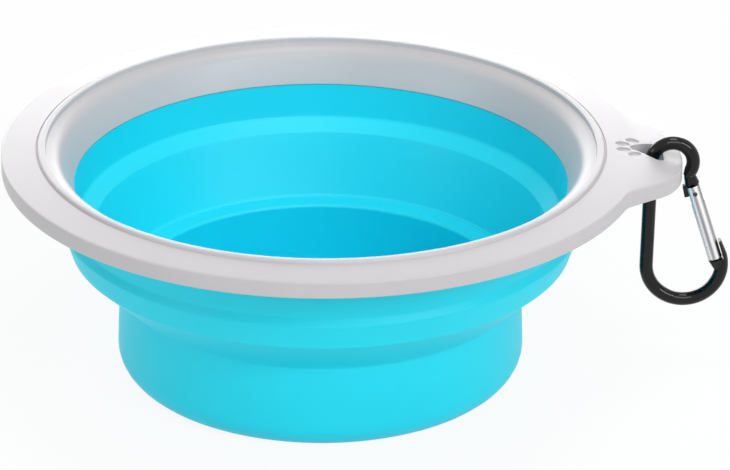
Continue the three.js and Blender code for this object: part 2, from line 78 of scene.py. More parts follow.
BEAD_PROUD = 0.3 * MM
BEAD_RISE = 0.6 * MM
BEAD_LEAN = 0.4 * MM
BEAD_INNER_LEAN = 0.15 * MM
BEAD_ROUND = 0.7 * MM
BEAD_INNER_ROUND = 0.35 * MM
BEAD_FOOT_ROUND = 0.06 * MM
GROOVE_WIDTH = 0.4 * MM
GROOVE_DEPTH = 0.35 * MM
LIP_DROP = 1.3 * MM
LIP_FALL = math.tan(math.radians(10))
LIP_RADIUS = 74.0 * MM
LIP_ROUND = 5.0 * MM
COLLAR_RADIUS = 69.6 * MM
COLLAR_WALL = 1.9 * MM
COLLAR_ROOT_ROUND = 1.5 * MM
TAB_FALL = math.tan(math.radians(14))
TAB_ROOT_ANGLE = math.radians(20.5)
TAB_WIDTH = 34.0 * MM
TAB_NOSE_WIDTH = 14.0 * MM
TAB_SHOULDER = 4.0 * MM
TAB_ROUND = 5.0 * MM
TAB_ROOT_ROUND = 2.0 * MM
RINGS_ACROSS_TAB = 9
WELD = 0.001 * MM
SHARP_ANGLE = math.radians(35)


def round_corners(corners, steps=6):
    """Points of an outline with corners (across, up, radius) rounded by arcs. Radius 0 keeps a corner."""
    points = []
    for before, corner, after in zip(corners[-1:] + corners[:-1], corners, corners[1:] + corners[:1]):
        at = Vector(corner[:2])
        radius = corner[2]
        if not radius:
            points.append(at)
            continue
        back = (Vector(before[:2]) - at).normalized()
        ahead = (Vector(after[:2]) - at).normalized()
        half_angle = back.angle(ahead) / 2
        middle = at + (back + ahead).normalized() * radius / math.sin(half_angle)
        first = at + back * radius / math.tan(half_angle) - middle
        last = at + ahead * radius / math.tan(half_angle) - middle
        first.normalize()
        last.normalize()
        points += [middle + radius * first.slerp(last, i / steps) for i in range(steps + 1)]
    return points


def trace_outline(name, points, closed=True):
    """An outline of points in space, drawn by extruding one vertex, and left in edit mode."""
    bpy.ops.object.select_all(action="DESELECT")
    bpy.ops.mesh.primitive_plane_add(size=MM, location=points[0])
    bpy.context.object.name = name
    bpy.ops.object.transform_apply(location=True)
    bpy.ops.object.mode_set(mode="EDIT")
    bpy.ops.mesh.merge(type="CENTER")
    for start, end in zip(points, points[1:]):
        bpy.ops.mesh.extrude_vertices_move(TRANSFORM_OT_translate={"value": Vector(end) - Vector(start)})
    if closed:
        drawn = bmesh.from_edit_mesh(bpy.context.object.data)
        drawn.verts.ensure_lookup_table()
        drawn.verts[0].select_set(True)
        bpy.ops.mesh.edge_face_add()
    bpy.ops.mesh.select_all(action="SELECT")


def finish_mesh():
    """Merges doubles, turns the faces outwards, leaves edit mode and smooths all but the sharp edges."""
    bpy.ops.mesh.select_all(action="SELECT")
    bpy.ops.mesh.remove_doubles(threshold=WELD)
    bpy.ops.mesh.normals_make_consistent(inside=False)
    bpy.ops.object.mode_set(mode="OBJECT")
    bpy.ops.object.shade_smooth_by_angle(angle=SHARP_ANGLE)
    return bpy.context.object


def turn_outline(name, outline, steps, closed=True):
    """An outline of (radius, height), spun once round the Z axis."""
    trace_outline(name, [(p[0], 0, p[1]) for p in outline], closed)
    bpy.ops.mesh.spin(steps=steps, angle=math.tau, center=(0, 0, 0), axis=(0, 0, 1))
    return finish_mesh()


def raise_outline(name, outline, height):
    """A flat outline in space, filled and extruded along a vector."""
    trace_outline(name, outline)
    bpy.ops.mesh.edge_face_add()
    bpy.ops.mesh.extrude_region_move(TRANSFORM_OT_translate={"value": height})
    return finish_mesh()


def pick(piece):
    """Selects a piece alone and makes it the active one."""
    bpy.ops.object.select_all(action="DESELECT")
    bpy.context.view_layer.objects.active = piece
    piece.select_set(True)


def cut(piece, tool, operation="DIFFERENCE"):
    """Cuts a piece with a tool, or joins the two, takes the tool away and leaves the piece picked."""
    pick(piece)
    step = piece.modifiers.new("cut", "BOOLEAN")
    step.operation = operation
    step.solver = "EXACT"
    step.object = tool
    bpy.ops.object.modifier_apply(modifier=step.name)
    bpy.data.objects.remove(tool)


def ease_edges(piece, width, steps, wanted):
    """Bevels the edges of a piece that the test wants, and smooths it again."""
    pick(piece)
    bpy.ops.object.mode_set(mode="EDIT")
    bpy.ops.mesh.select_mode(type="EDGE")
    bpy.ops.mesh.select_all(action="DESELECT")
    drawn = bmesh.from_edit_mesh(piece.data)
    for edge in drawn.edges:
        edge.select_set(edge.is_manifold and wanted(edge))
    bpy.ops.mesh.bevel(offset=width, segments=steps, affect="EDGES", clamp_overlap=True)
    bpy.ops.mesh.select_mode(type="VERT")
    return finish_mesh()


bead_top = rim_top + BEAD_PROUD
bead_foot = bead_top - BEAD_RISE
edge_inner = flange_radius - EDGE_WALL


def flange_top(radius):
    """Height of the upper face, which falls gently over the flange and more steeply along the tab."""
    gentle = min(radius, flange_radius) - BEAD_RADIUS
    steep = max(radius - flange_radius, 0)
    return bead_foot - gentle * FLANGE_FALL - steep * TAB_FALL


def between(start, end, count):
    """Points that part the way from start to end into equal steps, without its ends."""
    return [Vector(start).lerp(Vector(end), i / count) for i in range(1, count)]


bead_inner = BEAD_RADIUS - BEAD_WIDTH
lip_start = bead_top - LIP_DROP
lip_level = lip_start - (bead_inner - LIP_RADIUS) * LIP_FALL
collar_lean = (LIP_RADIUS - COLLAR_RADIUS) / (lip_level - collar_foot)
root_level = lip_start - FLANGE_PLATE
root_radius = COLLAR_RADIUS + COLLAR_WALL + (root_level - collar_foot) * collar_lean
edge_foot = flange_top(flange_radius) - EDGE_DEPTH
flange_start = (BEAD_RADIUS + GROOVE_WIDTH * 2, flange_top(BEAD_RADIUS + GROOVE_WIDTH * 2))
flange_stop = (flange_radius - EDGE_ROUND * 2, flange_top(flange_radius - EDGE_ROUND * 2))
foot_start = (edge_inner + FINE_ROUND, edge_foot)
foot_stop = (flange_radius - FINE_ROUND, edge_foot)
rim_corners = [
    (COLLAR_RADIUS, collar_foot, FINE_ROUND),
    (COLLAR_RADIUS + COLLAR_WALL, collar_foot, FINE_ROUND),
    (root_radius, root_level, COLLAR_ROOT_ROUND),
    (edge_inner, flange_top(edge_inner) - FLANGE_PLATE, FINE_ROUND),
    (edge_inner, edge_foot, FINE_ROUND),
    *[(*p, 0) for p in between(foot_start, foot_stop, RINGS_ACROSS_TAB)],
    (flange_radius, edge_foot, FINE_ROUND),
    (flange_radius, flange_top(flange_radius), EDGE_ROUND),
    (*flange_stop, 0),
    *[(*p, 0) for p in between(flange_stop, flange_start, RINGS_ACROSS_TAB)],
    (*flange_start, 0),
    (BEAD_RADIUS + GROOVE_WIDTH, flange_top(BEAD_RADIUS + GROOVE_WIDTH), BEAD_FOOT_ROUND),
    (BEAD_RADIUS + GROOVE_WIDTH / 2, bead_foot - GROOVE_DEPTH, BEAD_FOOT_ROUND),
    (BEAD_RADIUS, bead_foot - GROOVE_DEPTH, BEAD_FOOT_ROUND),
    (BEAD_RADIUS - BEAD_LEAN, bead_top, BEAD_ROUND),
    (bead_inner + BEAD_INNER_LEAN, bead_top, BEAD_INNER_ROUND),
    (bead_inner, lip_start, BEAD_FOOT_ROUND),
    (LIP_RADIUS, lip_level, LIP_ROUND),
]
rim = turn_outline("rim_moulding", round_corners(rim_corners), RIM_STEPS)


def bend_through(start, pull, end, steps=10):
    """Points of a curve from start to end, drawn towards pull."""
    shares = [i / steps for i in range(steps + 1)]
    return [start.lerp(pull, share).lerp(pull.lerp(end, share), share) for share in shares]


def tab_plan():
    """Half of the tab's outline seen from above, from the flange to the middle of the nose."""
    fillet_angle = TAB_ROOT_ANGLE + TAB_ROOT_ROUND / flange_radius
    start = Vector((math.cos(fillet_angle), math.sin(fillet_angle))) * flange_radius
    root = Vector((math.cos(TAB_ROOT_ANGLE), math.sin(TAB_ROOT_ANGLE))) * flange_radius
    corner = Vector((tab_end - TAB_SHOULDER, TAB_WIDTH / 2))
    nose = Vector((tab_end, TAB_NOSE_WIDTH / 2))
    along = (corner - root).normalized()
    flank_start = root + along * TAB_ROOT_ROUND
    flank_stop = corner - along * TAB_ROUND
    turn = corner.lerp(nose, 0.5)
    return [
        *bend_through(start, root, flank_start),
        *between(flank_start, flank_stop, RINGS_ACROSS_TAB),
        *bend_through(flank_stop, corner, turn),
        *bend_through(turn, nose, Vector((tab_end, 0))),
    ]


tab_rays = sorted((math.atan2(p.y, p.x), p.length) for p in tab_plan())


def outline_radius(angle):
    """Distance of the rim's outline from the axis, seen from above."""
    for (low, near), (high, far) in zip(tab_rays, tab_rays[1:]):
        if low <= abs(angle) <= high:
            return near + (far - near) * (abs(angle) - low) / max(high - low, WELD)
    return flange_radius


# The tab is drawn out of the flange: points near the edge move outwards, and down with the slope
for vertex in rim.data.vertices:
    radius = vertex.co.xy.length
    on_top = vertex.co.z > flange_top(radius) - EDGE_ROUND
    inner = flange_start[0] if on_top else edge_inner
    outer = flange_stop[0] if on_top else foot_stop[0]
    if radius <= inner + WELD:
        continue
    angle = math.atan2(vertex.co.y, vertex.co.x)
    share = min((radius - inner) / (outer - inner), 1)
    reach = radius + share * (outline_radius(angle) - flange_radius)
    vertex.co.z += flange_top(reach) - flange_top(radius)
    vertex.co.xy *= reach / radius

# The paw: the pad leaves a strip at the end of the tab, where the snap hook hangs
STRIP_WIDTH = 5.5 * MM
PAD_LENGTH = 11.2 * MM
PAD_WIDTH = 13.6 * MM
PAD_ROUND = 1.6 * MM
PAD_TIP_ROUND = 2.0 * MM
TOE_LENGTH = 4.0 * MM
TOE_WIDTH = 3.2 * MM
TOE_DEPTH = 0.45 * MM
TOE_SIDES = 40
INNER_TOE = (0.15 * MM, 2.0 * MM, math.radians(10))
OUTER_TOE = (-2.8 * MM, 4.7 * MM, math.radians(35))
PAW_EDGE = 0.22 * MM
PAW_EDGE_STEPS = 3
PAW_EDGE_ANGLE = math.radians(40)
PAW_EDGE_LEVEL = 0.1 * MM
strip_inner = tab_end - STRIP_WIDTH
pad_tip = strip_inner - PAD_LENGTH
pad_corners = [
    (pad_tip, 0, PAD_TIP_ROUND),
    (strip_inner, -PAD_WIDTH / 2, PAD_ROUND),
    (strip_inner, PAD_WIDTH / 2, PAD_ROUND),
]
pad_low = edge_foot - EDGE_DEPTH * 2
pad_outline = [(*p, pad_low) for p in round_corners(pad_corners)]
pad = raise_outline("pad_cut", pad_outline, (0, 0, rim_top - pad_low))
cut(rim, pad)
for ahead, aside, turn in (INNER_TOE, OUTER_TOE):
    for side in (-1, 1):
        toe_at = Vector((pad_tip - ahead, side * aside, 0))
        toe_at.z = flange_top(toe_at.length) - TOE_DEPTH + EDGE_DEPTH / 2
        bpy.ops.object.select_all(action="DESELECT")
        bpy.ops.mesh.primitive_cylinder_add(vertices=TOE_SIDES, radius=0.5, depth=1, location=toe_at)
        toe = bpy.context.object
        toe.scale = (TOE_LENGTH, TOE_WIDTH, EDGE_DEPTH)
        toe.rotation_euler.z = -side * turn
        bpy.ops.object.transform_apply(location=True, rotation=True, scale=True)
        cut(rim, toe)


def is_paw_edge(edge):
    """Whether an edge is a sharp one of the paw on the upper face of the tab."""
    middle = (edge.verts[0].co + edge.verts[1].co) / 2
    near = middle.x > pad_tip - TAB_ROUND and abs(middle.y) < PAD_WIDTH / 2 + WELD
    on_top = all(abs(v.co.z - flange_top(v.co.xy.length)) < PAW_EDGE_LEVEL for v in edge.verts)
    return near and on_top and edge.calc_face_angle() > PAW_EDGE_ANGLE


rim = ease_edges(rim, PAW_EDGE, PAW_EDGE_STEPS, is_paw_edge)


class Value:
    """A socket that carries a number, so that sums on it add Math nodes."""

    def __init__(self, nodes, socket):
        self.nodes = nodes
        self.socket = socket

    def sum(self, operation, first, second):
        return self.nodes.add("ShaderNodeMath", {"operation": operation}, {0: first, 1: second})

    def __add__(self, other):
        return self.sum("ADD", self, other)

    def __radd__(self, other):
        return self.sum("ADD", other, self)

    def __sub__(self, other):
        return self.sum("SUBTRACT", self, other)

    def __rsub__(self, other):
        return self.sum("SUBTRACT", other, self)

    def __mul__(self, other):
        return self.sum("MULTIPLY", self, other)

    def __rmul__(self, other):
        return self.sum("MULTIPLY", other, self)


class Nodes:
    """A node tree, with one method that adds a node and one that feeds a socket."""

    def __init__(self, tree):
        self.tree = tree

    def add(self, kind, settings, sockets, output=0):
        node = self.tree.nodes.new(kind)
        for name, value in settings.items():
            setattr(node, name, value)
        for name, value in sockets.items():
            self.feed(node.inputs[name], value)
        return Value(self, node.outputs[output])

    def feed(self, socket, value):
        if isinstance(value, Value):
            self.tree.links.new(value.socket, socket)
        else:
            socket.default_value = value


class Finish(Nodes):
    """A procedural material on Object coordinates, with its fixed shader values set on the shader."""

    def __init__(self, name, **fixed):
        self.material = bpy.data.materials.new(name)
        self.material.use_nodes = True
        super().__init__(self.material.node_tree)
        self.shader = self.tree.nodes["Principled BSDF"]
        self.place = self.add("ShaderNodeTexCoord", {}, {}, "Object")
        for socket, value in fixed.items():
            self.shade(socket.replace("_", " "), value)

    def shade(self, socket, value):
        self.feed(self.shader.inputs[socket], value)

    def noise(self, size, detail=2.0, place=None):
        """Soft clouds of about a size, from 0 to 1."""
        sockets = {"Vector": place or self.place, "Scale": 1 / size, "Detail": detail}
        return self.add("ShaderNodeTexNoise", {}, sockets, "Fac")

    def blend(self, share, low, high):
        """A colour between two others."""
        sockets = {"Factor": share, 6: (*low, 1), 7: (*high, 1)}
        return self.add("ShaderNodeMix", {"data_type": "RGBA"}, sockets, 2)

    def relief(self, height, depth):
        """A bump of a depth, from a height of 0 to 1."""
        sockets = {"Height": height, "Distance": depth, "Strength": 1.0}
        self.shade("Normal", self.add("ShaderNodeBump", {}, sockets, "Normal"))

    def coat(self, piece, slot):
        """Gives a piece this material alone. The slot is not used."""
        piece.data.materials.clear()
        piece.data.materials.append(self.material)


# Satin polypropylene: an even pale grey with a fine moulded grain
RIM_GREY = (0.505, 0.49, 0.505)
RIM_PALE_GREY = (0.545, 0.53, 0.545)
RIM_CLOUD = 25 * MM
RIM_ROUGHNESS = 0.36
RIM_ROUGHNESS_SPREAD = 0.10
RIM_GRAIN = 0.35 * MM
RIM_GRAIN_DEPTH = 0.008 * MM
rim_plastic = Finish("pale_grey_polypropylene", IOR=1.49)
clouding = rim_plastic.noise(RIM_CLOUD)
rim_plastic.shade("Base Color", rim_plastic.blend(clouding, RIM_GREY, RIM_PALE_GREY))
rim_plastic.shade("Roughness", RIM_ROUGHNESS + RIM_ROUGHNESS_SPREAD * clouding)
rim_plastic.relief(rim_plastic.noise(RIM_GRAIN), RIM_GRAIN_DEPTH)
rim_plastic.coat(rim, "rim_plastic")
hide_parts("rim_ring")
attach(rim, "rim")

# Soft body
# One moulding in cyan thermoplastic elastomer, lapped onto the collar: an upper wall, a ledge that shows
# outside as a rounded ridge, a cone that turns inside out when the bowl folds, and the base cup.
# It is drawn as two turned pieces that meet in the shoulder.
BODY_STEPS = 240
LAP_RADIUS = 76.5 * MM
LAP_TOP = 4.1 * MM
LAP_FOOT = 1.5 * MM
LAP_ROUND = 0.6 * MM
WALL_TOP_RADIUS = 74.0 * MM
VALLEY = (72.2 * MM, 47.9 * MM, 1.2 * MM)
RIDGE = (73.4 * MM, 45.7 * MM, 0.9 * MM)
SHOULDER = (71.1 * MM, 38.5 * MM, 0.9 * MM)
CUP_TOP = (57.3 * MM, 25.7 * MM, 0.9 * MM)
FOOT_RADIUS = 58.3 * MM
FOOT_ROUND = 7.6 * MM
LEDGE_TOP = (68.5 * MM, 46.7 * MM, 1.4 * MM)
LEDGE_FOOT = (63.9 * MM, 43.8 * MM, 0.9 * MM)
CUP_LEDGE_TOP = (57.8 * MM, 25.7 * MM, 1.0 * MM)
CUP_LEDGE_FOOT = (52.3 * MM, 25.0 * MM, 0.9 * MM)
CUP_INNER_RADIUS = 55.7 * MM
CUP_FLOOR = 2.6 * MM
FLOOR_ROUND = 5.0 * MM
SEAM_LEVEL = 40.4 * MM
CONTACT = 0.03 * MM

wall_top = collar_foot - CONTACT
lap_inner = COLLAR_RADIUS + COLLAR_WALL + CONTACT
outer_corners = [
    (COLLAR_RADIUS, wall_top, 0),
    (lap_inner, wall_top, 0),
    (lap_inner + LAP_TOP * collar_lean, collar_foot + LAP_TOP, 0),
    (LAP_RADIUS, collar_foot + LAP_TOP, LAP_ROUND),
    (LAP_RADIUS, collar_foot + LAP_FOOT, LAP_ROUND),
    (WALL_TOP_RADIUS, collar_foot, LAP_ROUND),
    VALLEY,
    RIDGE,
    SHOULDER,
    CUP_TOP,
    (FOOT_RADIUS, 0, FOOT_ROUND),
    (0, 0, 0),
]
seam_share = (LEDGE_FOOT[1] - SEAM_LEVEL) / (LEDGE_FOOT[1] - CUP_LEDGE_TOP[1])
inner_seam = Vector(LEDGE_FOOT[:2]).lerp(Vector(CUP_LEDGE_TOP[:2]), seam_share)
inner_corners = [
    (COLLAR_RADIUS, wall_top, 0),
    LEDGE_TOP,
    LEDGE_FOOT,
    (*inner_seam, 0),
    CUP_LEDGE_TOP,
    CUP_LEDGE_FOOT,
    (CUP_INNER_RADIUS, CUP_FLOOR, FLOOR_ROUND),
    (0, CUP_FLOOR, 0),
]
CORNER_STEPS = 8
outside = round_corners(outer_corners, CORNER_STEPS)
inside = round_corners(inner_corners, CORNER_STEPS)


def split_at(points, place):
    """The points down to the one nearest a place, and the points from there on."""
    nearest = min(range(len(points)), key=lambda i: (points[i] - Vector(place[:2])).length)
    return points[: nearest + 1], points[nearest:]


outside_upper, outside_lower = split_at(outside, SHOULDER)
inside_upper, inside_lower = split_at(inside, inner_seam)
upper_body = turn_outline("soft_body_upper", outside_upper + inside_upper[:0:-1], BODY_STEPS)
lower_body = turn_outline("soft_body_lower", inside_lower[::-1] + outside_lower, BODY_STEPS, closed=False)

# Satin elastomer: a deep even cyan, with faint clouding and a fine matt grain
BODY_CYAN = (0.004, 0.66, 0.82)
BODY_PALE_CYAN = (0.006, 0.69, 0.85)
BODY_CLOUD = 30 * MM
BODY_ROUGHNESS = 0.44
BODY_ROUGHNESS_SPREAD = 0.10
BODY_GRAIN = 0.3 * MM
BODY_GRAIN_DEPTH = 0.006 * MM
soft_body = Finish("cyan_elastomer", IOR=1.44)
clouding = soft_body.noise(BODY_CLOUD)
soft_body.shade("Base Color", soft_body.blend(clouding, BODY_CYAN, BODY_PALE_CYAN))
soft_body.shade("Roughness", BODY_ROUGHNESS + BODY_ROUGHNESS_SPREAD * clouding)
soft_body.relief(soft_body.noise(BODY_GRAIN), BODY_GRAIN_DEPTH)
soft_body.coat(upper_body, "soft_body")
soft_body.coat(lower_body, "soft_body")
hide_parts("body_top_band", "body_upper_fold", "body_shoulder_ring")
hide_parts("body_lower_fold", "base_cup")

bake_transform(upper_body)
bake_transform(lower_body)

# Snap hook frame
# A 3.9 mm aluminium rod, bent into a small hook over the strip of the tab, a straight spine and a round
# bottom, and anodised glossy black. Its stub has a pressed tongue with a heel, which holds the gate's rivet,
# and its nose is milled to seat the foot of the gate.
ROD_RADIUS = 1.94 * MM
ROD_SIDES = 32
HOOK_RADIUS = 5.9 * MM
HOOK_TURN = math.radians(205)
HOOK_STEPS = 40
HOOK_NECK = 0.75
BOTTOM_RADIUS = 10.75 * MM
BOTTOM_STEPS = 48
BOTTOM_AHEAD = 4.5 * MM
HOOK_LENGTH = 31.9 * MM
GATE_TILT = math.radians(18)
GATE_RADIUS = 2.0 * MM
GATE_LENGTH = 23.8 * MM
RIVET_LEVEL = 21.6 * MM
NOSE_LIP = 4.4 * MM
NOSE_LEAN = 0.4 * MM
NOSE_SEAT = 4.5 * MM
NOSE_SEAT_TIP = 0.9 * MM
GATE_GAP = 0.3 * MM
STUB_RADIUS = 2.15 * MM
STUB_LENGTH = 3.2 * MM
STUB_ROUND = 0.5 * MM
TONGUE_THICKNESS = 1.3 * MM
TONGUE_WIDTH = 3.0 * MM
TONGUE_REACH = 2.2 * MM
HEEL_REACH = 1.2 * MM
HEEL_LENGTH = 3.2 * MM
HEEL_ROUND = 0.4 * MM

joints = {joint["name"]: joint for joint in frame["record"]["behaviour"]["joints"]}
hook_at = Vector(joints["carabiner_swing"]["pos_m"])
rivet_at = Vector(joints["gate_hinge"]["pos_m"])
gate_up = Vector((-math.sin(GATE_TILT), 0, math.cos(GATE_TILT)))
gate_out = Vector((math.cos(GATE_TILT), 0, math.sin(GATE_TILT)))
gate_foot = rivet_at - gate_up * RIVET_LEVEL
bottom_at = hook_at + Vector((BOTTOM_AHEAD, 0, -HOOK_LENGTH))
spine_top = hook_at - Vector((HOOK_RADIUS, 0, 0))
spine_foot = bottom_at - Vector((BOTTOM_RADIUS, 0, 0))


def select_ring(piece, level):
    """Selects the points of the piece in edit mode that lie at a level on the spine."""
    bpy.ops.mesh.select_all(action="DESELECT")
    drawn = bmesh.from_edit_mesh(piece.data)
    for vertex in drawn.verts:
        vertex.select_set(abs(vertex.co.z - level) < WELD and vertex.co.x < hook_at.x)
    drawn.select_flush(True)


bpy.ops.object.select_all(action="DESELECT")
bpy.ops.mesh.primitive_circle_add(vertices=ROD_SIDES, radius=ROD_RADIUS, location=spine_top)
hook = bpy.context.object
hook.name = "snap_hook_frame"
bpy.ops.object.transform_apply(location=True)
bpy.ops.object.mode_set(mode="EDIT")
bpy.ops.mesh.spin(steps=HOOK_STEPS, angle=-HOOK_TURN, center=hook_at, axis=(0, 1, 0))
hook_end = math.pi - HOOK_TURN
hook_line = Vector((math.sin(hook_end), 0, -math.cos(hook_end)))
bpy.ops.mesh.extrude_region_move(TRANSFORM_OT_translate={"value": hook_line * ROD_RADIUS})
bpy.ops.transform.resize(value=(HOOK_NECK, HOOK_NECK, HOOK_NECK))
select_ring(hook, spine_top.z)
bpy.ops.mesh.extrude_region_move(TRANSFORM_OT_translate={"value": spine_foot - spine_top})
bpy.ops.mesh.spin(steps=BOTTOM_STEPS, angle=math.pi + GATE_TILT, center=bottom_at, axis=(0, 1, 0))
nose_reach = gate_up * NOSE_LIP - gate_out * NOSE_LEAN
bpy.ops.mesh.extrude_region_move(TRANSFORM_OT_translate={"value": nose_reach})
bpy.ops.mesh.select_all(action="SELECT")
bpy.ops.mesh.fill_holes(sides=0)
hook = finish_mesh()


def stand_on_gate(piece):
    """Places a piece that was drawn along +Z on the axis of the gate."""
    pick(piece)
    piece.rotation_euler.y = -GATE_TILT
    piece.location = gate_foot
    bpy.ops.object.transform_apply(location=True, rotation=True)
    return piece


def turned_on_gate(name, corners):
    """A piece turned on the axis of the gate, from corners (radius, level, round) that end on the axis."""
    return stand_on_gate(turn_outline(name, round_corners(corners), ROD_SIDES * 2, closed=False))


seat = turned_on_gate("seat", [
    (0, -GATE_GAP - NOSE_SEAT, 0),
    (NOSE_SEAT_TIP, -GATE_GAP - NOSE_SEAT, 0),
    (GATE_RADIUS + GATE_GAP / 2, -GATE_GAP, 0),
    (GATE_RADIUS + GATE_GAP / 2, GATE_GAP, 0),
    (0, GATE_GAP, 0),
])
cut(hook, seat, "UNION")


def box_on_gate(name, low, high):
    """A block on the axis of the gate, between two corners (outwards, across, along)."""
    bpy.ops.object.select_all(action="DESELECT")
    bpy.ops.mesh.primitive_cube_add(size=1, location=(Vector(low) + Vector(high)) / 2)
    block = bpy.context.object
    block.name = name
    block.scale = Vector(high) - Vector(low)
    bpy.ops.object.transform_apply(location=True, scale=True)
    return stand_on_gate(block)


room = GATE_RADIUS + GATE_GAP
cut(hook, box_on_gate("room", (-ROD_RADIUS * 4, -room, -GATE_GAP), (room, room, GATE_LENGTH / 2)))

stub_low = GATE_LENGTH + GATE_GAP
stub = turned_on_gate("stub", [
    (0, stub_low, 0),
    (STUB_RADIUS, stub_low, STUB_ROUND / 2),
    (STUB_RADIUS * HOOK_NECK, stub_low + STUB_LENGTH, STUB_ROUND),
    (0, stub_low + STUB_LENGTH, 0),
])
sweep = math.hypot(GATE_RADIUS, GATE_LENGTH - RIVET_LEVEL) + GATE_GAP / 2
bpy.ops.object.select_all(action="DESELECT")
bpy.ops.mesh.primitive_cylinder_add(
    vertices=ROD_SIDES * 2, radius=sweep, depth=ROD_RADIUS * 4, location=rivet_at,
    rotation=(math.pi / 2, 0, 0),
)
stub_relief = bpy.context.object
bpy.ops.object.transform_apply(location=True, rotation=True)
relief_low = (-ROD_RADIUS * 2, -ROD_RADIUS * 2, RIVET_LEVEL - ROD_RADIUS)
relief_high = (TONGUE_THICKNESS / 2, ROD_RADIUS * 2, GATE_LENGTH + ROD_RADIUS)
cut(stub_relief, box_on_gate("inner_side", relief_low, relief_high), "INTERSECT")
cut(stub, stub_relief)
cut(hook, stub, "UNION")

tongue_half = TONGUE_WIDTH / 2
heel_out = -GATE_RADIUS - HEEL_REACH
tongue_corners = [
    (-tongue_half, RIVET_LEVEL - TONGUE_REACH, HEEL_ROUND),
    (tongue_half, RIVET_LEVEL - TONGUE_REACH, HEEL_ROUND),
    (tongue_half, stub_low + STUB_ROUND, 0),
    (heel_out + HEEL_ROUND, stub_low + STUB_ROUND, HEEL_ROUND),
    (heel_out, stub_low - HEEL_LENGTH, HEEL_ROUND),
    (-tongue_half, stub_low - HEEL_LENGTH, 0),
]
tongue_outline = [(p[0], -TONGUE_THICKNESS / 2, p[1]) for p in round_corners(tongue_corners)]
tongue = raise_outline("tongue", tongue_outline, (0, TONGUE_THICKNESS, 0))
cut(hook, stand_on_gate(tongue), "UNION")
bpy.ops.object.mode_set(mode="EDIT")
hook = finish_mesh()

# Glossy black anodising, a little worn in its shine
ROD_BLACK = (0.001, 0.001, 0.0012)
ROD_WORN_BLACK = (0.003, 0.0028, 0.0028)
ROD_CLOUD = 6 * MM
ROD_ROUGHNESS = 0.05
ROD_ROUGHNESS_SPREAD = 0.06
ROD_COAT = 0.02
ROD_COAT_SPREAD = 0.06
ROD_GRAIN = 0.5 * MM
ROD_GRAIN_DEPTH = 0.002 * MM
black_rod = Finish("black_anodised_rod", IOR=1.36, Coat_Roughness=0.08)
clouding = black_rod.noise(ROD_CLOUD)
black_rod.shade("Base Color", black_rod.blend(clouding, ROD_BLACK, ROD_WORN_BLACK))
black_rod.shade("Roughness", ROD_ROUGHNESS + ROD_ROUGHNESS_SPREAD * clouding)
black_rod.shade("Coat Weight", ROD_COAT + ROD_COAT_SPREAD * clouding)
black_rod.relief(black_rod.noise(ROD_GRAIN), ROD_GRAIN_DEPTH)
black_rod.coat(hook, "black_rod")
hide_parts("carabiner_frame")
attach(hook, "carabiner")

# Gate
# A length of bright drawn aluminium tube, closed at its foot, with a fork cut into its top for the tongue.
# It turns on the rivet, and the spring and plunger in its bore press it shut against the nose.
GATE_BORE = 1.3 * MM
BORE_FLOOR = 7.0 * MM
FORK_FLOOR = 18.6 * MM
FORK_WIDTH = 1.9 * MM
GATE_FOOT_ROUND = 0.35 * MM
gate = turned_on_gate("gate_tube", [
    (0, 0, 0),
    (GATE_RADIUS, 0, GATE_FOOT_ROUND),
    (GATE_RADIUS, GATE_LENGTH, GATE_FOOT_ROUND / 3),
    (GATE_BORE, GATE_LENGTH, 0),
    (GATE_BORE, BORE_FLOOR, 0),
    (0, BORE_FLOOR, 0),
])
fork_low = (-GATE_RADIUS * 2, -FORK_WIDTH / 2, FORK_FLOOR)
fork_high = (GATE_RADIUS * 2, FORK_WIDTH / 2, GATE_LENGTH + GATE_RADIUS)
cut(gate, box_on_gate("fork", fork_low, fork_high))
RIVET_RADIUS = 0.65 * MM
RIVET_FIT = 0.05 * MM
bpy.ops.object.select_all(action="DESELECT")
bpy.ops.mesh.primitive_cylinder_add(
    vertices=ROD_SIDES, radius=RIVET_RADIUS + RIVET_FIT, depth=GATE_RADIUS * 4, location=rivet_at,
    rotation=(math.pi / 2, 0, 0),
)
rivet_hole = bpy.context.object
bpy.ops.object.transform_apply(location=True, rotation=True)
cut(gate, rivet_hole)
bpy.ops.object.mode_set(mode="EDIT")
gate = finish_mesh()

# Bright drawn tube: broad light and dark stripes of painted reflection, and fine drawn lines, run along it,
# turned into the lean of the gate.
# One band of the Wave texture is WAVE_STEP long at a scale of 1.
# The dark and bright ends of the colour serve both the painted reflection stripes and the drawn lines.
TUBE_DARK_REFLECTION_AND_LINE = (0.22, 0.22, 0.23)
TUBE_BRIGHT_REFLECTION_AND_LINE = (0.95, 0.95, 0.96)
TUBE_ROUGHNESS = 0.30
TUBE_ROUGHNESS_SPREAD = 0.15
WAVE_STEP = math.tau / 20
# The shift sets where the painted reflection stripes fall across the front of the tube.
REFLECTION_BAND_STEP = 1.9 * MM
REFLECTION_BAND_SHIFT = 0.7 * MM
REFLECTION_BAND_WANDER = 0.4
REFLECTION_BAND_SHARE = 0.8
LINE_WIDTH = 0.4 * MM
LINE_STRETCH = 50
LINE_DETAIL = 3.0
LINE_DEPTH = 0.003 * MM
LINE_SHARE = 0.7
PAINTED_REFLECTION_LOSS = 0.2
gate_silver = Finish("bright_drawn_tube", Metallic=1.0)
lean = {
    "Vector": gate_silver.place,
    "Location": gate_foot + gate_out * REFLECTION_BAND_SHIFT,
    "Rotation": (0, -GATE_TILT, 0),
    "Scale": (1, 1, LINE_STRETCH),
}
along_gate = gate_silver.add("ShaderNodeMapping", {"vector_type": "TEXTURE"}, lean)
lines = gate_silver.noise(LINE_WIDTH, LINE_DETAIL, along_gate)
reflection_band_settings = {
    "Vector": along_gate,
    "Scale": WAVE_STEP / REFLECTION_BAND_STEP,
    "Phase Offset": math.pi,
    "Distortion": REFLECTION_BAND_WANDER,
}
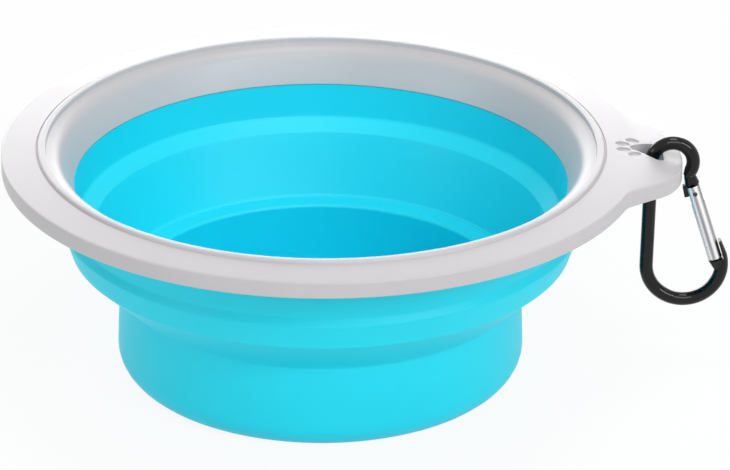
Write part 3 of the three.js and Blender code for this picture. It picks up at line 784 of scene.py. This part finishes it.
# Painted reflection: the Wave texture paints bright and dark reflection stripes into the colour of the tube.
painted_reflection_bands = gate_silver.add("ShaderNodeTexWave", {"wave_type": "BANDS"}, reflection_band_settings, "Fac")
painted_reflection_and_lines = painted_reflection_bands * REFLECTION_BAND_SHARE + lines * LINE_SHARE - PAINTED_REFLECTION_LOSS
painted_reflection_and_line_share = gate_silver.add("ShaderNodeClamp", {}, {"Value": painted_reflection_and_lines})
gate_silver.shade("Base Color", gate_silver.blend(painted_reflection_and_line_share, TUBE_DARK_REFLECTION_AND_LINE, TUBE_BRIGHT_REFLECTION_AND_LINE))
gate_silver.shade("Roughness", TUBE_ROUGHNESS + TUBE_ROUGHNESS_SPREAD * lines)
gate_silver.relief(lines, LINE_DEPTH)
gate_silver.coat(gate, "gate_silver")
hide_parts("gate")
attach(gate, "gate")

# Gate rivet
# A semi-tubular rivet of plain steel, set across the fork of the gate and the tongue of the frame.
# Its hollow ends show as dark dots on the tube.
RIVET_LENGTH = 4.0 * MM
RIVET_HOLLOW = 0.4 * MM
RIVET_HOLLOW_DEPTH = 0.6 * MM
RIVET_ROUND = 0.12 * MM
rivet_half = RIVET_LENGTH / 2
hollow = rivet_half - RIVET_HOLLOW_DEPTH
rivet_corners = [
    (0, -hollow, 0),
    (RIVET_HOLLOW, -hollow, 0),
    (RIVET_HOLLOW, -rivet_half, RIVET_ROUND),
    (RIVET_RADIUS, -rivet_half, RIVET_ROUND),
    (RIVET_RADIUS, rivet_half, RIVET_ROUND),
    (RIVET_HOLLOW, rivet_half, RIVET_ROUND),
    (RIVET_HOLLOW, hollow, 0),
    (0, hollow, 0),
]
rivet = turn_outline("gate_rivet_turned", round_corners(rivet_corners), ROD_SIDES, closed=False)
rivet.rotation_euler.x = math.pi / 2
rivet.location = rivet_at
bpy.ops.object.transform_apply(location=True, rotation=True)

# Plain steel, a little dulled
STEEL_DARK = (0.12, 0.12, 0.125)
STEEL_PALE = (0.17, 0.17, 0.175)
STEEL_CLOUD = 1.5 * MM
STEEL_ROUGHNESS = 0.30
STEEL_ROUGHNESS_SPREAD = 0.15
STEEL_GRAIN = 0.1 * MM
STEEL_GRAIN_DEPTH = 0.002 * MM
steel = Finish("plain_steel", Metallic=1.0)
clouding = steel.noise(STEEL_CLOUD)
steel.shade("Base Color", steel.blend(clouding, STEEL_DARK, STEEL_PALE))
steel.shade("Roughness", STEEL_ROUGHNESS + STEEL_ROUGHNESS_SPREAD * clouding)
steel.relief(steel.noise(STEEL_GRAIN), STEEL_GRAIN_DEPTH)
steel.coat(rivet, "steel")
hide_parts("gate_rivet")
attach(rivet, "gate")

# Gate plunger
# A small pin, turned from the same steel, that slides in the bore of the gate.
# The spring presses its rounded head towards the end of the tongue.
PLUNGER_RADIUS = 1.1 * MM
PLUNGER_LENGTH = 3.2 * MM
PLUNGER_ROUND = 0.6 * MM
plunger_top = RIVET_LEVEL - TONGUE_REACH - GATE_GAP
plunger_foot = plunger_top - PLUNGER_LENGTH
plunger = turned_on_gate("gate_plunger_turned", [
    (0, plunger_foot, 0),
    (PLUNGER_RADIUS, plunger_foot, PLUNGER_ROUND / 3),
    (PLUNGER_RADIUS, plunger_top, PLUNGER_ROUND),
    (0, plunger_top, 0),
])
steel.coat(plunger, "steel")
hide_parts("gate_plunger")
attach(plunger, "plunger")

# Gate spring
# A coil of thin steel wire, wound in one length, in the bore of the gate.
# It lies between the floor of the bore and the plunger, and is squeezed when the gate opens.
SPRING_WIRE = 0.2 * MM
SPRING_CURLS = 9
WIRE_SIDES = 12
CURL_STEPS = 24
spring_foot = BORE_FLOOR + GATE_GAP + SPRING_WIRE
spring_top = plunger_foot - GATE_GAP - SPRING_WIRE
bpy.ops.object.select_all(action="DESELECT")
bpy.ops.mesh.primitive_circle_add(
    vertices=WIRE_SIDES, radius=SPRING_WIRE, fill_type="NOTHING", rotation=(math.pi / 2, 0, 0),
    location=(PLUNGER_RADIUS - SPRING_WIRE, 0, spring_foot),
)
spring = bpy.context.object
spring.name = "gate_spring_wire"
bpy.ops.object.transform_apply(location=True, rotation=True)
curls = spring.modifiers.new("curls", "SCREW")
curls.screw_offset = (spring_top - spring_foot) / SPRING_CURLS
curls.iterations = SPRING_CURLS
curls.steps = CURL_STEPS
curls.render_steps = CURL_STEPS
curls.use_merge_vertices = False
bpy.ops.object.modifier_apply(modifier=curls.name)
bpy.ops.object.mode_set(mode="EDIT")
bpy.ops.mesh.select_all(action="SELECT")
bpy.ops.mesh.fill_holes(sides=0)
spring = stand_on_gate(finish_mesh())
steel.coat(spring, "steel")
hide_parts("gate_spring")
coil_top = gate_foot + gate_up * spring_top
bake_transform(spring)

# Floor
# A plain white studio floor under the bowl, which shows almost white and still takes the bowl's soft shadow.
# It is a flat sheet, and the room beyond it is as white.
FLOOR_SIZE = 40
FLOOR_WHITE = (0.86, 0.86, 0.86, 1)
FULL_WHITE = (1, 1, 1, 1)
FLOOR_GLOW = 0.9


def seen_rays(nodes):
    """1 for a ray from the camera, or from gloss or glass that shows the room, and 0 for lighting."""
    kinds = ("Is Camera Ray", "Is Glossy Ray", "Is Transmission Ray")
    direct, gloss, glass = (nodes.add("ShaderNodeLightPath", {}, {}, kind) for kind in kinds)
    return nodes.add("ShaderNodeClamp", {}, {"Value": direct + gloss + glass})


bpy.ops.object.select_all(action="DESELECT")
bpy.ops.mesh.primitive_plane_add(size=FLOOR_SIZE, location=(0, 0, -CONTACT))
floor = bpy.context.object
floor.name = "studio_floor"
bpy.ops.object.transform_apply(location=True)
floor_white = bpy.data.materials.new("studio_white")
floor_white.use_nodes = True
nodes = Nodes(floor_white.node_tree)
nodes.tree.nodes.remove(nodes.tree.nodes["Principled BSDF"])
lit = nodes.add("ShaderNodeBsdfDiffuse", {}, {"Color": FLOOR_WHITE})
glow = nodes.add("ShaderNodeEmission", {}, {"Color": FULL_WHITE, "Strength": 1.0})
seen = nodes.add("ShaderNodeMixShader", {}, {0: seen_rays(nodes) * FLOOR_GLOW, 1: lit, 2: glow})
nodes.feed(nodes.tree.nodes["Material Output"].inputs["Surface"], seen)
floor.data.materials.append(floor_white)

# Studio light
# A white room all round, with soft boxes overhead and in front, a broad low one behind, and two leaning
# strips at the sides, whose long bright lines show on the snap hook. Each box has its place and size in
# metres, its roll in degrees and its power in watts.
ROOM_LIGHT = 0.42
SOFT_BOXES = [
    ("overhead_box", (0.2, 0.0, 1.5), 0.5, 0.5, 0, 5.5),
    ("front_box", (0.25, -1.3, 1.05), 0.9, 0.7, 0, 6.5),
    ("right_strip", (1.11, -1.03, 0.87), 0.9, 0.15, -51, 8.5),
    ("left_strip", (-1.4, -0.75, 0.42), 0.6, 0.1, 65, 3.2),
    ("back_box", (-0.2, 1.6, 0.39), 1.8, 0.78, 0, 20.0),
]
world = bpy.data.worlds.new("studio_room")
bpy.context.scene.world = world
world.use_nodes = True
nodes = Nodes(world.node_tree)
room_glow = ROOM_LIGHT + (1 - ROOM_LIGHT) * seen_rays(nodes)
nodes.feed(world.node_tree.nodes["Background"].inputs["Color"], FULL_WHITE)
nodes.feed(world.node_tree.nodes["Background"].inputs["Strength"], room_glow)
bowl_middle = Vector((0, 0, rim_top / 2))
for name, place, width, height, roll, watts in SOFT_BOXES:
    facing = (bowl_middle - Vector(place)).to_track_quat("-Z", "Y").to_euler()
    facing.rotate_axis("Z", math.radians(roll))
    bpy.ops.object.light_add(type="AREA", location=place, rotation=facing)
    lamp = bpy.context.object
    lamp.name = name
    lamp.data.shape = "RECTANGLE"
    lamp.data.size = width
    lamp.data.size_y = height
    lamp.data.energy = watts
    lamp.visible_camera = False

# Camera
# A long lens from the front and above, as in the photograph: 1.2 m from the middle of the mouth.
CAMERA_AT = (0, -1100.5 * MM, 545.9 * MM)
CAMERA_DOWN = math.radians(24.709)
CAMERA_ROLL = math.radians(0.52)
CAMERA_TURN = math.radians(0.412)
CAMERA_LENS = 210.13
CAMERA_SENSOR = 36
CAMERA_NEAREST = 50 * MM
camera_angles = (math.pi / 2 - CAMERA_DOWN, -CAMERA_ROLL, -CAMERA_TURN)
bpy.ops.object.camera_add(location=CAMERA_AT, rotation=camera_angles)
camera = bpy.context.object
camera.data.lens = CAMERA_LENS
camera.data.sensor_width = CAMERA_SENSOR
camera.data.clip_start = CAMERA_NEAREST
bpy.context.scene.camera = camera
bpy.context.scene.view_settings.view_transform = "Standard"
